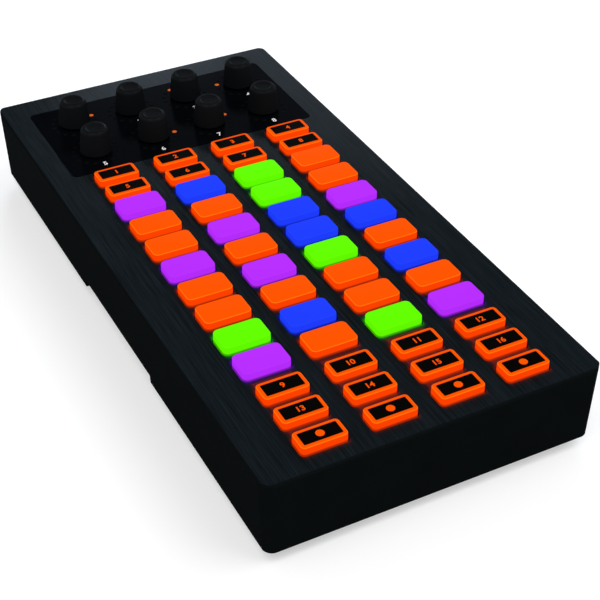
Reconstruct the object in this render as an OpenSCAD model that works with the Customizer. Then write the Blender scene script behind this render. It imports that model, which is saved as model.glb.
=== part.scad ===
// Desktop button controller: a flat black case with a field of lit keys and eight endless knobs.
// Millimetres, +Z up, the front of the case towards -Y. The origin lies under the middle of the
// case, on the plane that its feet stand on.

/* [Case] */
// Plain border of the top beside the pads, left and right
side_margin = 15.55; // [14.5:0.05:30]
// Plain border of the top behind the knob panel
back_margin = 12.3; // [10:0.1:30]
// Plain border of the top in front of the last key row
front_margin = 6.9; // [6.5:0.1:30]
// Height of the case from its lower rim to its top face
case_h = 29.5; // [27:0.5:45]
// How far each wall leans in from its top to the lower rim
wall_draft = 1; // [0:0.1:1.2]
// Radius of the upright corners
corner_r = 4.5; // [3.5:0.1:10]
// Thickness of the side walls at their top
wall = 2.5; // [1.8:0.1:3.4]
// Height of the feet below the lower rim
foot_drop = 4.7; // [3:0.1:12]

/* [Grip notches] */
// Length of the finger notch in the lower rim of each side wall
grip_l = 63; // [20:1:120]
// Height of the notch
grip_h = 3.1; // [1:0.1:5]
// Place of the notch's middle along the case
grip_y = -1.2; // [-20:0.1:20]

/* [Base plate and feet] */
// How far the base plate lies above the lower rim
base_recess = 3.2; // [1:0.1:4]
// Thickness of the base plate
base_t = 2.2; // [1.8:0.1:3]
// Gap between the base plate and the walls
base_fit = 0.25; // [0.1:0.05:0.5]
// Size of a foot across the case
foot_w = 19; // [8:0.5:24]
// Size of a foot along the case
foot_l = 12; // [6:0.5:16]
// Distance of a foot from the side face of the top
foot_side = 8.05; // [6:0.05:20]
// Distance of a foot from the front or back face of the top
foot_end = 4.9; // [4.2:0.1:8]
// Radius of a foot's upright corners
foot_r = 1.5; // [0.5:0.1:3]

/* [Faceplate] */
// Thickness of the metal faceplate
plate_t = 1.2; // [0.8:0.1:2]
// Rounding of its top edge
plate_edge_r = 0.8; // [0.3:0.1:1]

/* [Key carrier] */
// Thickness of the carrier plate under the faceplate
carrier_t = 2; // [1.5:0.1:3]
// Gap between the carrier and the walls
carrier_fit = 0.4; // [0.2:0.05:1]

/* [Keys] */
// Width of a small key
key_w = 16.2; // [10:0.1:17]
// Length of a small key
key_l = 8.3; // [7.5:0.1:12]
// Radius of a small key's upright corners
key_corner_r = 1.5; // [0.8:0.1:2.5]
// Width of a pad
pad_w = 17.4; // [17:0.1:24]
// Length of a pad
pad_l = 11; // [8:0.1:18]
// Radius of a pad's upright corners
pad_corner_r = 2; // [0.8:0.1:3]
// Height of the keys and pads above the faceplate
key_rise = 2.9; // [2:0.1:6]
// Rounding of their top edges
key_edge_r = 0.5; // [0.2:0.1:0.7]
// Travel of the keys and pads
key_travel = 1.2; // [0.6:0.1:1.8]
// Gap between a key and the edge of its opening
key_fit = 0.4; // [0.3:0.05:0.6]
// Width of the skirt that keeps a key under the carrier
skirt = 0.8; // [0.7:0.05:1.1]
// Thickness of the skirt
skirt_t = 1; // [0.6:0.1:1.5]
// Wall of the hollow keys
key_wall = 1.4; // [1:0.1:1.8]
// Thickness of the keys' tops
key_roof = 1.8; // [1:0.1:2.5]
// Radius of the plunger in the middle of a key
plunger_r = 1.4; // [0.8:0.1:1.6]

/* [Layout] */
// Gap between neighbouring pads across the case
column_gap = 7; // [6:0.1:12]
// Gap between the knob panel and the first key row
panel_gap = 3.4; // [3:0.1:10]
// Gap between the two key rows behind the pads
select_gap = 3.2; // [2.6:0.1:8]
// Gap between those rows and the pads
pads_back_gap = 2.7; // [2.6:0.1:10]
// Gap between neighbouring pads along the case
pad_gap = 3.58; // [2.6:0.02:8]
// Gap between the pads and the key rows in front of them
pads_front_gap = 5.39; // [2.6:0.01:12]
// Gap between the three front key rows
channel_gap = 4.175; // [2.6:0.005:8]

/* [Knob panel] */
// Distance between the two knob rows
knob_row_pitch = 24.3; // [23:0.1:32]
// Distance from the outer knobs to the panel's sides
panel_side = 14.5; // [12.5:0.1:17]
// Distance from the back knobs to the panel's back edge
panel_back = 14.2; // [12.5:0.1:20]
// Distance from the front knobs to the panel's front edge
panel_front = 14.7; // [12.5:0.1:20]
// Radius of the panel's corners
panel_corner_r = 2; // [0.5:0.1:4]
// Gap between the panel and the faceplate's opening
panel_fit = 0.15; // [0.1:0.05:0.4]

/* [Knobs] */
// Radius of a knob at its foot
knob_base_r = 6.4; // [5.8:0.1:7]
// Radius of a knob at its top
knob_top_r = 5.4; // [4.8:0.1:6]
// Height of a knob
knob_h = 10.2; // [8.5:0.1:18]
// Gap between a knob and the panel
knob_gap = 0.8; // [0.4:0.1:1.5]
// Rounding of a knob's top edge
knob_edge_r = 1; // [0.4:0.1:1.4]
// Radius of the shallow dish in a knob's top
dish_r = 4.2; // [2:0.1:4.5]
// Depth of the dish
dish_depth = 0.45; // [0.2:0.05:0.8]
// Radius of a knob's shaft
shaft_r = 3; // [2:0.1:3]
// Distance of the shaft's flat from its axis
shaft_flat = 1.5; // [1:0.1:1.8]
// Gap between the shaft and the bushing it turns in
shaft_fit = 0.1; // [0.05:0.05:0.2]
// Gap between the shaft and the bore of its knob
bore_fit = 0.05; // [0.02:0.01:0.1]
// Thickness of solid knob above the shaft
knob_roof = 2.2; // [1.5:0.1:3]

/* [Encoders and light rings] */
// Side of an encoder's square body
encoder_w = 11; // [9:0.1:11]
// Height of an encoder's body
encoder_h = 4.5; // [3.5:0.1:5]
// Floor of an encoder's body under its shaft
encoder_floor = 0.9; // [0.6:0.1:1.5]
// Outer radius of an encoder's bushing
bushing_r = 3.9; // [3.7:0.1:4.1]
// Height of the bushing above the panel
bushing_rise = 2.6; // [1.8:0.1:4]
// Gap between the bushing and the panel or the knob
bushing_gap = 0.4; // [0.3:0.05:0.6]
// Radius of the ring of light dots round a knob
ring_r = 9; // [8.8:0.1:9.6]
// Radius of a light dot
dot_r = 0.8; // [0.4:0.05:0.85]
// Number of dots in a ring
dot_count = 15; // [5:2:15]
// Angle between neighbouring dots
dot_step = 22.5; // [15:0.5:22.5]
// Width of the clear guide ring under the dots
guide_w = 2.2; // [2:0.1:2.2]
// Gap round the guide rings and dots
guide_fit = 0.1; // [0.05:0.05:0.2]

/* [Board and mat] */
// Thickness of the circuit board
board_t = 1.6; // [1:0.1:2]
// Gap between the board and the case's posts and walls
board_fit = 0.6; // [0.4:0.1:1.5]
// Thickness of the rubber mat on the board
mat_t = 1; // [0.9:0.1:1.6]
// How far the mat reaches past the outer pads
mat_border = 2.6; // [1.2:0.1:5]
// Gap left between the mat and a fully pressed key
mat_gap = 0.4; // [0.3:0.05:1]
// Radius of the mat's contact domes
dome_r = 2.2; // [2.1:0.05:2.25]
// Height of the domes above the mat
dome_h = 1.2; // [0.6:0.1:1.2]
// Wall of the domes
dome_wall = 0.6; // [0.4:0.05:0.7]
// Side of a light chip
led_w = 1.8; // [1:0.1:2]
// Height of a light chip
led_h = 0.7; // [0.4:0.1:0.8]

/* [Data socket] */
// Place of the socket across the case
socket_x = 0; // [-30:1:30]
// Width of the socket's metal shell
socket_w = 12; // [11.5:0.1:14]
// Height of the socket's metal shell
socket_h = 10.9; // [10.5:0.1:11.5]
// Depth of the socket
socket_l = 16.4; // [13:0.1:18]
// Width of its mouth
mouth_w = 8.45; // [8:0.05:9]
// Height of its mouth
mouth_h = 7.8; // [7:0.05:8.5]
// Size of the two cut corners of the mouth
mouth_cut = 1.7; // [1:0.1:2]
// Depth of the mouth
mouth_l = 9.5; // [8:0.1:11]
// Width of the contact tongue in the mouth
tongue_w = 5.6; // [5:0.1:6]
// Height of the tongue
tongue_h = 3.2; // [2.5:0.1:3.5]
// How far the tongue's tip lies inside the mouth
tongue_set = 1; // [0.5:0.1:2]
// Gap between the socket and the back wall's opening
socket_fit = 0.25; // [0.1:0.05:0.5]

/* [Screws] */
// Radius of a screw's shank
screw_r = 1.2; // [0.8:0.1:1.3]
// Length of the shank
screw_l = 6.2; // [4:0.1:6.4]
// Radius of a screw's head
head_r = 2.4; // [2:0.1:2.6]
// Height of a screw's head
head_h = 1.2; // [0.8:0.1:1.4]
// Gap round screws in their holes
screw_fit = 0.1; // [0.05:0.05:0.2]
// Radius of the posts that take the base plate's screws
post_r = 3.4; // [3:0.1:4]
// Distance of a post's axis from the wall's inner face
post_in = 2.8; // [2.6:0.1:2.9]
// Distance of the end posts from the case's front and back faces
post_end = 27; // [24:0.5:40]

/* [Hidden] */
$fn = 64;
cut = 1;

COLUMNS = 4;
PAD_ROWS = 8;
SELECT_ROWS = 2;
CHANNEL_ROWS = 3;
KNOB_ROWS = 2;

// Pads that stand lit in a colour other than orange, counted from the back left
PURPLE_PADS = [1, 10, 12, 13, 18, 29, 32];
BLUE_PADS = [2, 11, 15, 16, 24, 26];
GREEN_PADS = [3, 7, 19, 25, 31];

// Heights
rim_z = foot_drop;
top_z = rim_z + case_h;
plate_z = top_z - plate_t;
carrier_z = plate_z - carrier_t;
// Running gap between pieces that face each other at rest
rest_gap = 0.3;
skirt_top = carrier_z - rest_gap;
skirt_z = skirt_top - skirt_t;
key_top = top_z + key_rise;
mat_top = skirt_z - key_travel - mat_gap;
board_top = mat_top - mat_t;
board_z = board_top - board_t;
base_z = rim_z + base_recess;
base_top = base_z + base_t;
knob_z = top_z + knob_gap;
knob_top = knob_z + knob_h;
bushing_top = top_z + bushing_rise;

// Layout across the case
column_pitch = pad_w + column_gap;
case_w = (COLUMNS - 1) * column_pitch + pad_w + 2 * side_margin;
column_x = [for (i = [0 : COLUMNS - 1]) (i - (COLUMNS - 1) / 2) * column_pitch];

// Layout along the case
panel_l = panel_back + (KNOB_ROWS - 1) * knob_row_pitch + panel_front;
panel_w = (COLUMNS - 1) * column_pitch + 2 * panel_side;
select_pitch = key_l + select_gap;
pad_pitch = pad_l + pad_gap;
channel_pitch = key_l + channel_gap;
select_span = (SELECT_ROWS - 1) * select_pitch + key_l;
pad_span = (PAD_ROWS - 1) * pad_pitch + pad_l;
channel_span = (CHANNEL_ROWS - 1) * channel_pitch + key_l;
case_l = back_margin + panel_l + panel_gap + select_span + pads_back_gap + pad_span
       + pads_front_gap + channel_span + front_margin;
panel_y = case_l / 2 - back_margin - panel_l / 2;
knob_y = [for (i = [0 : KNOB_ROWS - 1]) case_l / 2 - back_margin - panel_back - i * knob_row_pitch];
select_back = case_l / 2 - back_margin - panel_l - panel_gap;
select_y = [for (i = [0 : SELECT_ROWS - 1]) select_back - key_l / 2 - i * select_pitch];
pads_back = select_back - select_span - pads_back_gap;
pad_y = [for (i = [0 : PAD_ROWS - 1]) pads_back - pad_l / 2 - i * pad_pitch];
channel_back = pads_back - pad_span - pads_front_gap;
channel_y = [for (i = [0 : CHANNEL_ROWS - 1]) channel_back - key_l / 2 - i * channel_pitch];
key_rows = concat(select_y, channel_y);

// Places of the posts, the board's screws and the feet
inner_w = case_w - 2 * wall;
inner_l = case_l - 2 * wall;
least_inner_r = 0.5;
inner_r = max(corner_r - wall, least_inner_r);
post_x = inner_w / 2 - post_in;
post_places = [for (x = [-post_x, post_x], y = [post_end - case_l / 2, 0, case_l / 2 - post_end]) [x, y]];
// Gap between a boss of the carrier and the skirts of the pads beside it
skirt_clear = 0.5;
boss_r = column_gap / 2 - skirt - skirt_clear;
boss_rows = [(knob_y[1] - ring_r - guide_w + select_back + skirt) / 2, pad_y[2] - pad_pitch / 2,
             pad_y[PAD_ROWS - 1]];
boss_places = [for (x = [-column_pitch, column_pitch], y = boss_rows) [x, y]];
foot_x = case_w / 2 - foot_side - foot_w / 2;
foot_y = case_l / 2 - foot_end - foot_l / 2;

// Sizes that follow from their neighbours
board_w = 2 * (post_x - post_r - board_fit);
board_l = inner_l - 2 * board_fit;
mat_w = (COLUMNS - 1) * column_pitch + pad_w + 2 * mat_border;
mat_back = select_back + skirt;
mat_front = channel_back - channel_span - skirt;
bore_r = shaft_r + shaft_fit;
socket_mid = board_z - socket_h / 2;
socket_y = case_l / 2 - lean_at(board_z - socket_h);
// Upright face left under the faceplate's rounded edge
edge_land = 0.2;

KNOBS = COLUMNS * KNOB_ROWS;
PADS = COLUMNS * PAD_ROWS;
KEY_ROW_NAMES = ["select_keys_back", "select_keys_front", "channel_keys_back", "channel_keys_middle",
                 "channel_keys_front"];

function pad_colour(i) =
    len(search(i, PURPLE_PADS)) > 0 ? "mediumorchid"
    : len(search(i, BLUE_PADS)) > 0 ? "royalblue"
    : len(search(i, GREEN_PADS)) > 0 ? "lawngreen"
    : "orangered";

// How far the walls lean in at a height
function lean_at(z) = wall_draft * (plate_z - z) / (plate_z - rim_z);

// Rectangle with round corners, about the origin
module slab(w, l, r) {
    square([w - 2 * r, l], center = true);
    square([w, l - 2 * r], center = true);
    for (x = [-1, 1], y = [-1, 1])
        translate([x * (w / 2 - r), y * (l / 2 - r)]) circle(r);
}

// Side view of a block of width w and height h with its two top corners rounded
module crown(w, h, r) {
    translate([-w / 2, 0]) square([w, h - r]);
    translate([r - w / 2, 0]) square([w - 2 * r, h]);
    for (x = [-1, 1])
        translate([x * (w / 2 - r), h - r]) circle(r);
}

// Block with round upright corners and a rounded top edge
module soft_block(w, l, h, r, edge_r) {
    intersection() {
        linear_extrude(h) slab(w, l, r);
        rotate([90, 0, 0]) linear_extrude(l + 2 * cut, center = true) crown(w, h, edge_r);
        rotate([90, 0, 90]) linear_extrude(w + 2 * cut, center = true) crown(l, h, edge_r);
    }
}

// Side view of a block of width w and height h that is narrower at its foot
module keel(w, h, lean) {
    polygon([[lean - w / 2, 0], [w / 2 - lean, 0], [w / 2, h], [-w / 2, h]]);
}

// Block with round upright corners whose sides lean in towards its foot
module leaning_block(w, l, h, r, lean) {
    rotate([90, 0, 0]) linear_extrude(l - 2 * r, center = true) keel(w, h, lean);
    rotate([90, 0, 90]) linear_extrude(w - 2 * r, center = true) keel(l, h, lean);
    for (x = [-1, 1], y = [-1, 1])
        translate([x * (w / 2 - r), y * (l / 2 - r), 0]) cylinder(r1 = r - lean, r2 = r, h = h);
}

module at_columns(y) {
    for (x = column_x) translate([x, y, 0]) children();
}

module at_knobs() {
    for (y = knob_y) at_columns(y) children();
}

module at_keys() {
    for (y = key_rows) at_columns(y) children();
}

module at_pads() {
    for (y = pad_y) at_columns(y) children();
}

// Directions of the dots in a ring, with the gap of the ring towards the front
module at_dots() {
    for (i = [0 : dot_count - 1])
        rotate((i - (dot_count - 1) / 2) * dot_step) translate([0, ring_r, 0]) children();
}

// Drafted wall of the case with its grip notches, socket opening and posts
module case_shell() {
    color("#101214") difference() {
        union() {
            difference() {
                translate([0, 0, rim_z])
                    leaning_block(case_w, case_l, plate_z - rim_z, corner_r, wall_draft);
                translate([0, 0, rim_z - cut])
                    linear_extrude(plate_z - rim_z + 2 * cut) slab(inner_w, inner_l, inner_r);
            }
            for (p = post_places)
                translate([p.x, p.y, base_top]) cylinder(r = post_r, h = carrier_z - base_top);
        }
        for (x = [-1, 1])
            translate([x * (case_w - wall) / 2, grip_y, rim_z + (grip_h - cut) / 2])
                cube([wall + cut, grip_l, grip_h + cut], center = true);
        for (p = post_places)
            translate([p.x, p.y, base_top - cut])
                cylinder(r = screw_r + screw_fit, h = screw_l + cut);
        translate([socket_x, (case_l - wall) / 2, socket_mid])
            cube([socket_w + 2 * socket_fit, wall + cut, socket_h + 2 * socket_fit], center = true);
    }
}

// Brushed metal top with openings for the knob panel and every key
module faceplate() {
    color("#1b2022") difference() {
        translate([0, 0, plate_z])
            soft_block(case_w, case_l, plate_t, corner_r, min(plate_edge_r, plate_t - edge_land));
        translate([0, panel_y, plate_z - cut])
            linear_extrude(plate_t + 2 * cut)
                slab(panel_w + 2 * panel_fit, panel_l + 2 * panel_fit, panel_corner_r + panel_fit);
        translate([0, 0, plate_z - cut]) key_openings(plate_t + 2 * cut);
    }
}

// Prisms that cut an opening for every key
module key_openings(h) {
    at_keys() linear_extrude(h)
        slab(key_w + 2 * key_fit, key_l + 2 * key_fit, key_corner_r + key_fit);
    at_pads() linear_extrude(h)
        slab(pad_w + 2 * key_fit, pad_l + 2 * key_fit, pad_corner_r + key_fit);
}

// Gloss panel round the knobs, with a hole for each bushing and each light dot
module encoder_panel() {
    color("#050608") difference() {
        translate([0, panel_y, plate_z]) linear_extrude(plate_t) slab(panel_w, panel_l, panel_corner_r);
        at_knobs() translate([0, 0, plate_z - cut]) {
            cylinder(r = bushing_r + bushing_gap, h = plate_t + 2 * cut);
            at_dots() cylinder(r = dot_r + guide_fit, h = plate_t + 2 * cut);
        }
    }
}

// Inner plate that the faceplate and panel lie on, with bosses down to the board
module key_carrier() {
    guide_r = ring_r + guide_w / 2 + guide_fit;
    color("#24282b") difference() {
        union() {
            translate([0, 0, carrier_z]) linear_extrude(carrier_t)
                slab(inner_w - 2 * carrier_fit, inner_l - 2 * carrier_fit, inner_r);
            for (p = boss_places)
                translate([p.x, p.y, board_top]) cylinder(r = boss_r, h = carrier_z - board_top);
        }
        at_knobs() translate([0, 0, carrier_z - cut]) cylinder(r = guide_r, h = carrier_t + 2 * cut);
        translate([0, 0, carrier_z - cut]) key_openings(carrier_t + 2 * cut);
        for (p = boss_places)
            translate([p.x, p.y, board_top - cut])
                cylinder(r = screw_r + screw_fit, h = screw_l - board_t + 2 * cut);
    }
}

// Cover of the underside, set into the walls, with sunk screw holes
module base_plate() {
    color("#16181a") difference() {
        translate([0, 0, base_z]) linear_extrude(base_t)
            slab(inner_w - 2 * base_fit, inner_l - 2 * base_fit, inner_r);
        for (p = post_places) translate([p.x, p.y, base_z - cut]) {
            cylinder(r = screw_r + screw_fit, h = base_t + 2 * cut);
            cylinder(r = head_r + screw_fit, h = head_h + cut);
        }
    }
}

module rubber_feet() {
    color("#0a0a0a")
        for (x = [-foot_x, foot_x], y = [-foot_y, foot_y])
            translate([x, y, 0]) linear_extrude(base_z) slab(foot_w, foot_l, foot_r);
}

// Screw standing head down, with the underside of its head at the origin
module screw() {
    translate([0, 0, -head_h]) cylinder(r = head_r, h = head_h);
    cylinder(r = screw_r, h = screw_l);
}

module fixing_screws() {
    color("silver") {
        for (p = post_places) translate([p.x, p.y, base_z + head_h]) screw();
        for (p = boss_places) translate([p.x, p.y, board_z]) screw();
    }
}

module main_board() {
    color("#0d3b24") difference() {
        translate([-board_w / 2, -board_l / 2, board_z]) cube([board_w, board_l, board_t]);
        for (p = boss_places)
            translate([p.x, p.y, board_z - cut]) cylinder(r = screw_r + screw_fit, h = board_t + 2 * cut);
    }
}

// Parts on the underside of the board: processor, light drivers, crystal and two capacitors
module board_chips() {
    processor = [12, 12, 1.4];
    driver = [10, 4, 1.5];
    crystal = [4, 11, 3.5];
    capacitor_r = 2.5;
    capacitor_h = 5;
    color("#1c1c1e") {
        hang_chip([0, pad_y[0]], processor);
        for (y = [pad_y[2], pad_y[5], channel_y[1]]) at_columns(0) hang_chip([0, y], driver);
        hang_chip([column_x[3], pad_y[0]], crystal);
        for (x = [column_x[0], column_x[1]])
            translate([x, pad_y[0], board_z - capacitor_h]) cylinder(r = capacitor_r, h = capacitor_h);
    }
}

module hang_chip(place, size) {
    translate([place.x, place.y, board_z - size.z / 2]) cube(size, center = true);
}

// A light chip under every key and every dot
module board_leds() {
    color("white") {
        at_keys() led();
        at_pads() led();
        at_knobs() at_dots() led();
    }
}

module led() {
    translate([0, 0, board_top + led_h / 2]) cube([led_w, led_w, led_h], center = true);
}

// Rubber sheet on the board with a hollow contact dome under every key
module key_mat() {
    color("#5a5d60") difference() {
        union() {
            translate([-mat_w / 2, mat_front, board_top]) cube([mat_w, mat_back - mat_front, mat_t]);
            at_keys() dome();
            at_pads() dome();
        }
        at_keys() light_well();
        at_pads() light_well();
        for (p = boss_places)
            translate([p.x, p.y, board_top - cut])
                cylinder(r = boss_r + skirt_clear / 2, h = mat_t + 2 * cut);
    }
}

module dome() {
    translate([0, 0, board_top]) cylinder(r = dome_r, h = mat_t + dome_h);
}

module light_well() {
    translate([0, 0, board_top - cut]) cylinder(r = dome_r - dome_wall, h = mat_t + dome_h + 2 * cut);
}

// Rotary encoders: a square body on the board and the bushing that guides the shaft
module encoder_bodies() {
    color("#7c8084") at_knobs() difference() {
        union() {
            translate([0, 0, board_top + encoder_h / 2])
                cube([encoder_w, encoder_w, encoder_h], center = true);
            translate([0, 0, board_top]) cylinder(r = bushing_r, h = bushing_top - board_top);
        }
        translate([0, 0, board_top + encoder_floor]) cylinder(r = bore_r, h = bushing_top - board_top);
    }
}

// Clear ring under the panel with a pin up through each dot hole
module light_rings() {
    guide_z = board_top + led_h + rest_gap;
    color("#c9ccd0") at_knobs() {
        translate([0, 0, guide_z]) difference() {
            cylinder(r = ring_r + guide_w / 2, h = plate_z - guide_z);
            translate([0, 0, -cut]) cylinder(r = ring_r - guide_w / 2, h = plate_z - guide_z + 2 * cut);
        }
        at_dots() translate([0, 0, guide_z]) cylinder(r = dot_r, h = top_z - guide_z);
    }
}

// Metal shell of the data socket, under the board, its lower edge flush with the back wall
module socket_shell() {
    color("silver") difference() {
        translate([socket_x - socket_w / 2, socket_y - socket_l, board_z - socket_h])
            cube([socket_w, socket_l, socket_h]);
        translate([socket_x, socket_y + cut, socket_mid])
            rotate([90, 0, 0]) linear_extrude(mouth_l + cut) socket_mouth();
    }
}

// Outline of the mouth: a rectangle with its two lower corners cut off
module socket_mouth() {
    polygon([[-mouth_w / 2, mouth_h / 2], [mouth_w / 2, mouth_h / 2],
             [mouth_w / 2, mouth_cut - mouth_h / 2], [mouth_w / 2 - mouth_cut, -mouth_h / 2],
             [mouth_cut - mouth_w / 2, -mouth_h / 2], [-mouth_w / 2, mouth_cut - mouth_h / 2]]);
}

module socket_tongue() {
    tongue_l = mouth_l - tongue_set;
    color("whitesmoke")
        translate([socket_x - tongue_w / 2, socket_y - mouth_l, socket_mid - tongue_h / 2])
            cube([tongue_w, tongue_l, tongue_h]);
}

// Knob and its shaft: two solids that turn together in the bushing
module knob(i) {
    row = floor((i - 1) / COLUMNS);
    column = (i - 1) % COLUMNS;
    shaft_z = board_top + encoder_floor + rest_gap;
    shaft_top = knob_top - knob_roof;
    hollow_top = bushing_top + rest_gap;
    translate([column_x[column], knob_y[row], 0]) {
        color("#141617") difference() {
            translate([0, 0, knob_z]) rotate_extrude() knob_profile();
            translate([0, 0, knob_z - cut])
                cylinder(r = bushing_r + bushing_gap, h = hollow_top - knob_z + cut);
            translate([0, 0, hollow_top - cut])
                flat_bar(shaft_r + bore_fit, shaft_flat + bore_fit, shaft_top + bore_fit - hollow_top + cut);
        }
        color("silver") {
            translate([0, 0, shaft_z]) cylinder(r = shaft_r, h = bushing_top - shaft_z);
            translate([0, 0, bushing_top]) flat_bar(shaft_r, shaft_flat, shaft_top - bushing_top);
        }
    }
}

// Upright round bar with a flat on its +Y side
module flat_bar(r, flat, h) {
    difference() {
        cylinder(r = r, h = h);
        translate([-r - cut, flat, -cut]) cube([2 * (r + cut), r + cut, h + 2 * cut]);
    }
}

// Half section of a knob: tapered side, round top edge and a shallow dish
module knob_profile() {
    shoulder = knob_h - knob_edge_r;
    dish_ball = (dish_r * dish_r + dish_depth * dish_depth) / (2 * dish_depth);
    difference() {
        union() {
            polygon([[0, 0], [knob_base_r, 0], [knob_top_r, shoulder], [0, shoulder]]);
            translate([0, shoulder - knob_edge_r]) square([knob_top_r - knob_edge_r, 2 * knob_edge_r]);
            translate([knob_top_r - knob_edge_r, shoulder]) circle(knob_edge_r);
        }
        translate([0, knob_h - dish_depth + dish_ball]) circle(dish_ball);
        translate([-2 * dish_ball, -cut]) square([2 * dish_ball, 2 * dish_ball]);
    }
}

// Hollow rubber key with a skirt below, a soft top edge and a plunger over its dome
module lit_key(w, l, r) {
    roof_z = key_top - key_roof;
    plunger_z = mat_top + dome_h + key_travel + rest_gap;
    difference() {
        union() {
            translate([0, 0, skirt_z]) soft_block(w, l, key_top - skirt_z, r, key_edge_r);
            translate([0, 0, skirt_z]) linear_extrude(skirt_t) slab(w + 2 * skirt, l + 2 * skirt, r + skirt);
        }
        translate([-w / 2 + key_wall, -l / 2 + key_wall, skirt_z - cut])
            cube([w - 2 * key_wall, l - 2 * key_wall, roof_z - skirt_z + cut]);
    }
    translate([0, 0, plunger_z]) cylinder(r = plunger_r, h = roof_z - plunger_z);
}

module key_row(y) {
    color("orangered") at_columns(y) lit_key(key_w, key_l, key_corner_r);
}

module pad(i) {
    row = floor((i - 1) / COLUMNS);
    column = (i - 1) % COLUMNS;
    color(pad_colour(i)) translate([column_x[column], pad_y[row], 0]) lit_key(pad_w, pad_l, pad_corner_r);
}

case_shell();
faceplate();
encoder_panel();
key_carrier();
base_plate();
rubber_feet();
fixing_screws();
main_board();
board_chips();
board_leds();
key_mat();
encoder_bodies();
light_rings();
socket_shell();
socket_tongue();
for (i = [1 : KNOBS]) knob(i);
for (i = [0 : len(KEY_ROW_NAMES) - 1]) key_row(key_rows[i]);
for (i = [1 : PADS]) pad(i);
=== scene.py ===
"""Looks of a desktop button controller.

A brushed black case holds a gloss panel of soft knobs and a field of lit keys.
"""

import logging
import math
from abc import ABC, abstractmethod
from dataclasses import dataclass, field, replace
from enum import Enum
from functools import lru_cache
from typing import Any, ClassVar, Iterable, Union

import bmesh
import bpy
from bmesh.types import BMEdge, BMFace, BMVert
from mathutils import Matrix, Vector


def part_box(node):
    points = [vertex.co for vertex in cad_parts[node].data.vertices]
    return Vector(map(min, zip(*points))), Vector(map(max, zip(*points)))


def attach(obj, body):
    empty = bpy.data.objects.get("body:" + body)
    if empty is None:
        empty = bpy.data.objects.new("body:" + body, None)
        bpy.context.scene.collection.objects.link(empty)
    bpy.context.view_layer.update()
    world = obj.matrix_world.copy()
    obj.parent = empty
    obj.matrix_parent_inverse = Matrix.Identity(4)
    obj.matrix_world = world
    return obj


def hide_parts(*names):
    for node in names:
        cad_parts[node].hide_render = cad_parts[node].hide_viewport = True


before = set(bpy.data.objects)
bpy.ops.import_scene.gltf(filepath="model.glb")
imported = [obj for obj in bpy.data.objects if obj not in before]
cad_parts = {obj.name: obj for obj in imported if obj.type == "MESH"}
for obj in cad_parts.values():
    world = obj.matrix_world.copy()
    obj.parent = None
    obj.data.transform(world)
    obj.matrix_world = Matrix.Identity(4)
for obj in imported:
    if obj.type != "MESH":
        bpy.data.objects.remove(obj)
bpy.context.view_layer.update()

MM = 0.001
LOG = logging.getLogger("button_controller")

Pair = tuple[float, float]
Triple = tuple[float, float, float]
Colour = Triple
Value = Union["Wire", float, Triple]
Profile = list[Pair]

BLACK: Colour = (0.0, 0.0, 0.0)
WHITE: Colour = (1.0, 1.0, 1.0)
COOL_LIGHT: Colour = (0.8, 0.95, 1.1)
NOISE_MIDDLE = 0.5


def paint(red: int, green: int, blue: int) -> Colour:
    """Turns a screen colour into the linear colour that a shader takes.

    Args:
        red: Red of the screen colour, from 0 to 255.
        green: Green of the screen colour, from 0 to 255.
        blue: Blue of the screen colour, from 0 to 255.

    Returns:
        The linear colour, with parts from 0 to 1.
    """
    def linear(part: int) -> float:
        """Undoes the screen's curve for one part of the colour."""
        share = part / 255
        return share / 12.92 if share <= 0.04045 else ((share + 0.055) / 1.055) ** 2.4

    return linear(red), linear(green), linear(blue)


def shade(colour: Colour, share: float) -> Colour:
    """Scales a colour's brightness.

    Args:
        colour: A linear colour.
        share: The factor, above 1 for a lighter colour.

    Returns:
        The scaled colour.
    """
    return colour[0] * share, colour[1] * share, colour[2] * share


class Wire:
    """A shader socket. Arithmetic on it adds Math nodes."""

    def __init__(self, shader: "Shader", socket: bpy.types.NodeSocket) -> None:
        """Keeps the socket and the shader that it belongs to."""
        self.shader = shader
        self.socket = socket

    def _math(self, operation: str, left: Value, right: Value) -> "Wire":
        """Adds a Math node that works on two values."""
        return self.shader.node("ShaderNodeMath", {"operation": operation}, {0: left, 1: right})

    def __add__(self, other: Value) -> "Wire":
        """Adds a value."""
        return self._math("ADD", self, other)

    def __radd__(self, other: Value) -> "Wire":
        """Is added to a value."""
        return self._math("ADD", other, self)

    def __sub__(self, other: Value) -> "Wire":
        """Takes a value away."""
        return self._math("SUBTRACT", self, other)

    def __rsub__(self, other: Value) -> "Wire":
        """Is taken away from a value."""
        return self._math("SUBTRACT", other, self)

    def __mul__(self, other: Value) -> "Wire":
        """Multiplies by a value."""
        return self._math("MULTIPLY", self, other)

    def __rmul__(self, other: Value) -> "Wire":
        """Multiplies a value."""
        return self._math("MULTIPLY", other, self)

    def __pow__(self, other: Value) -> "Wire":
        """Is raised to a power."""
        return self._math("POWER", self, other)

    def __rpow__(self, other: Value) -> "Wire":
        """Raises a value to its power."""
        return self._math("POWER", other, self)

    def __abs__(self) -> "Wire":
        """Drops its sign."""
        return self._math("ABSOLUTE", self, 0.0)

    def __floor__(self) -> "Wire":
        """Rounds down."""
        return self._math("FLOOR", self, 0.0)

    def within(self, low: float, high: float) -> "Wire":
        """Stays between two limits."""
        return self.shader.node("ShaderNodeClamp", {}, {"Value": self, "Min": low, "Max": high})

    def swing(self, span: float) -> "Wire":
        """Departs from the middle of a noise, by up to half of a span."""
        return (self - NOISE_MIDDLE) * span


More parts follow.
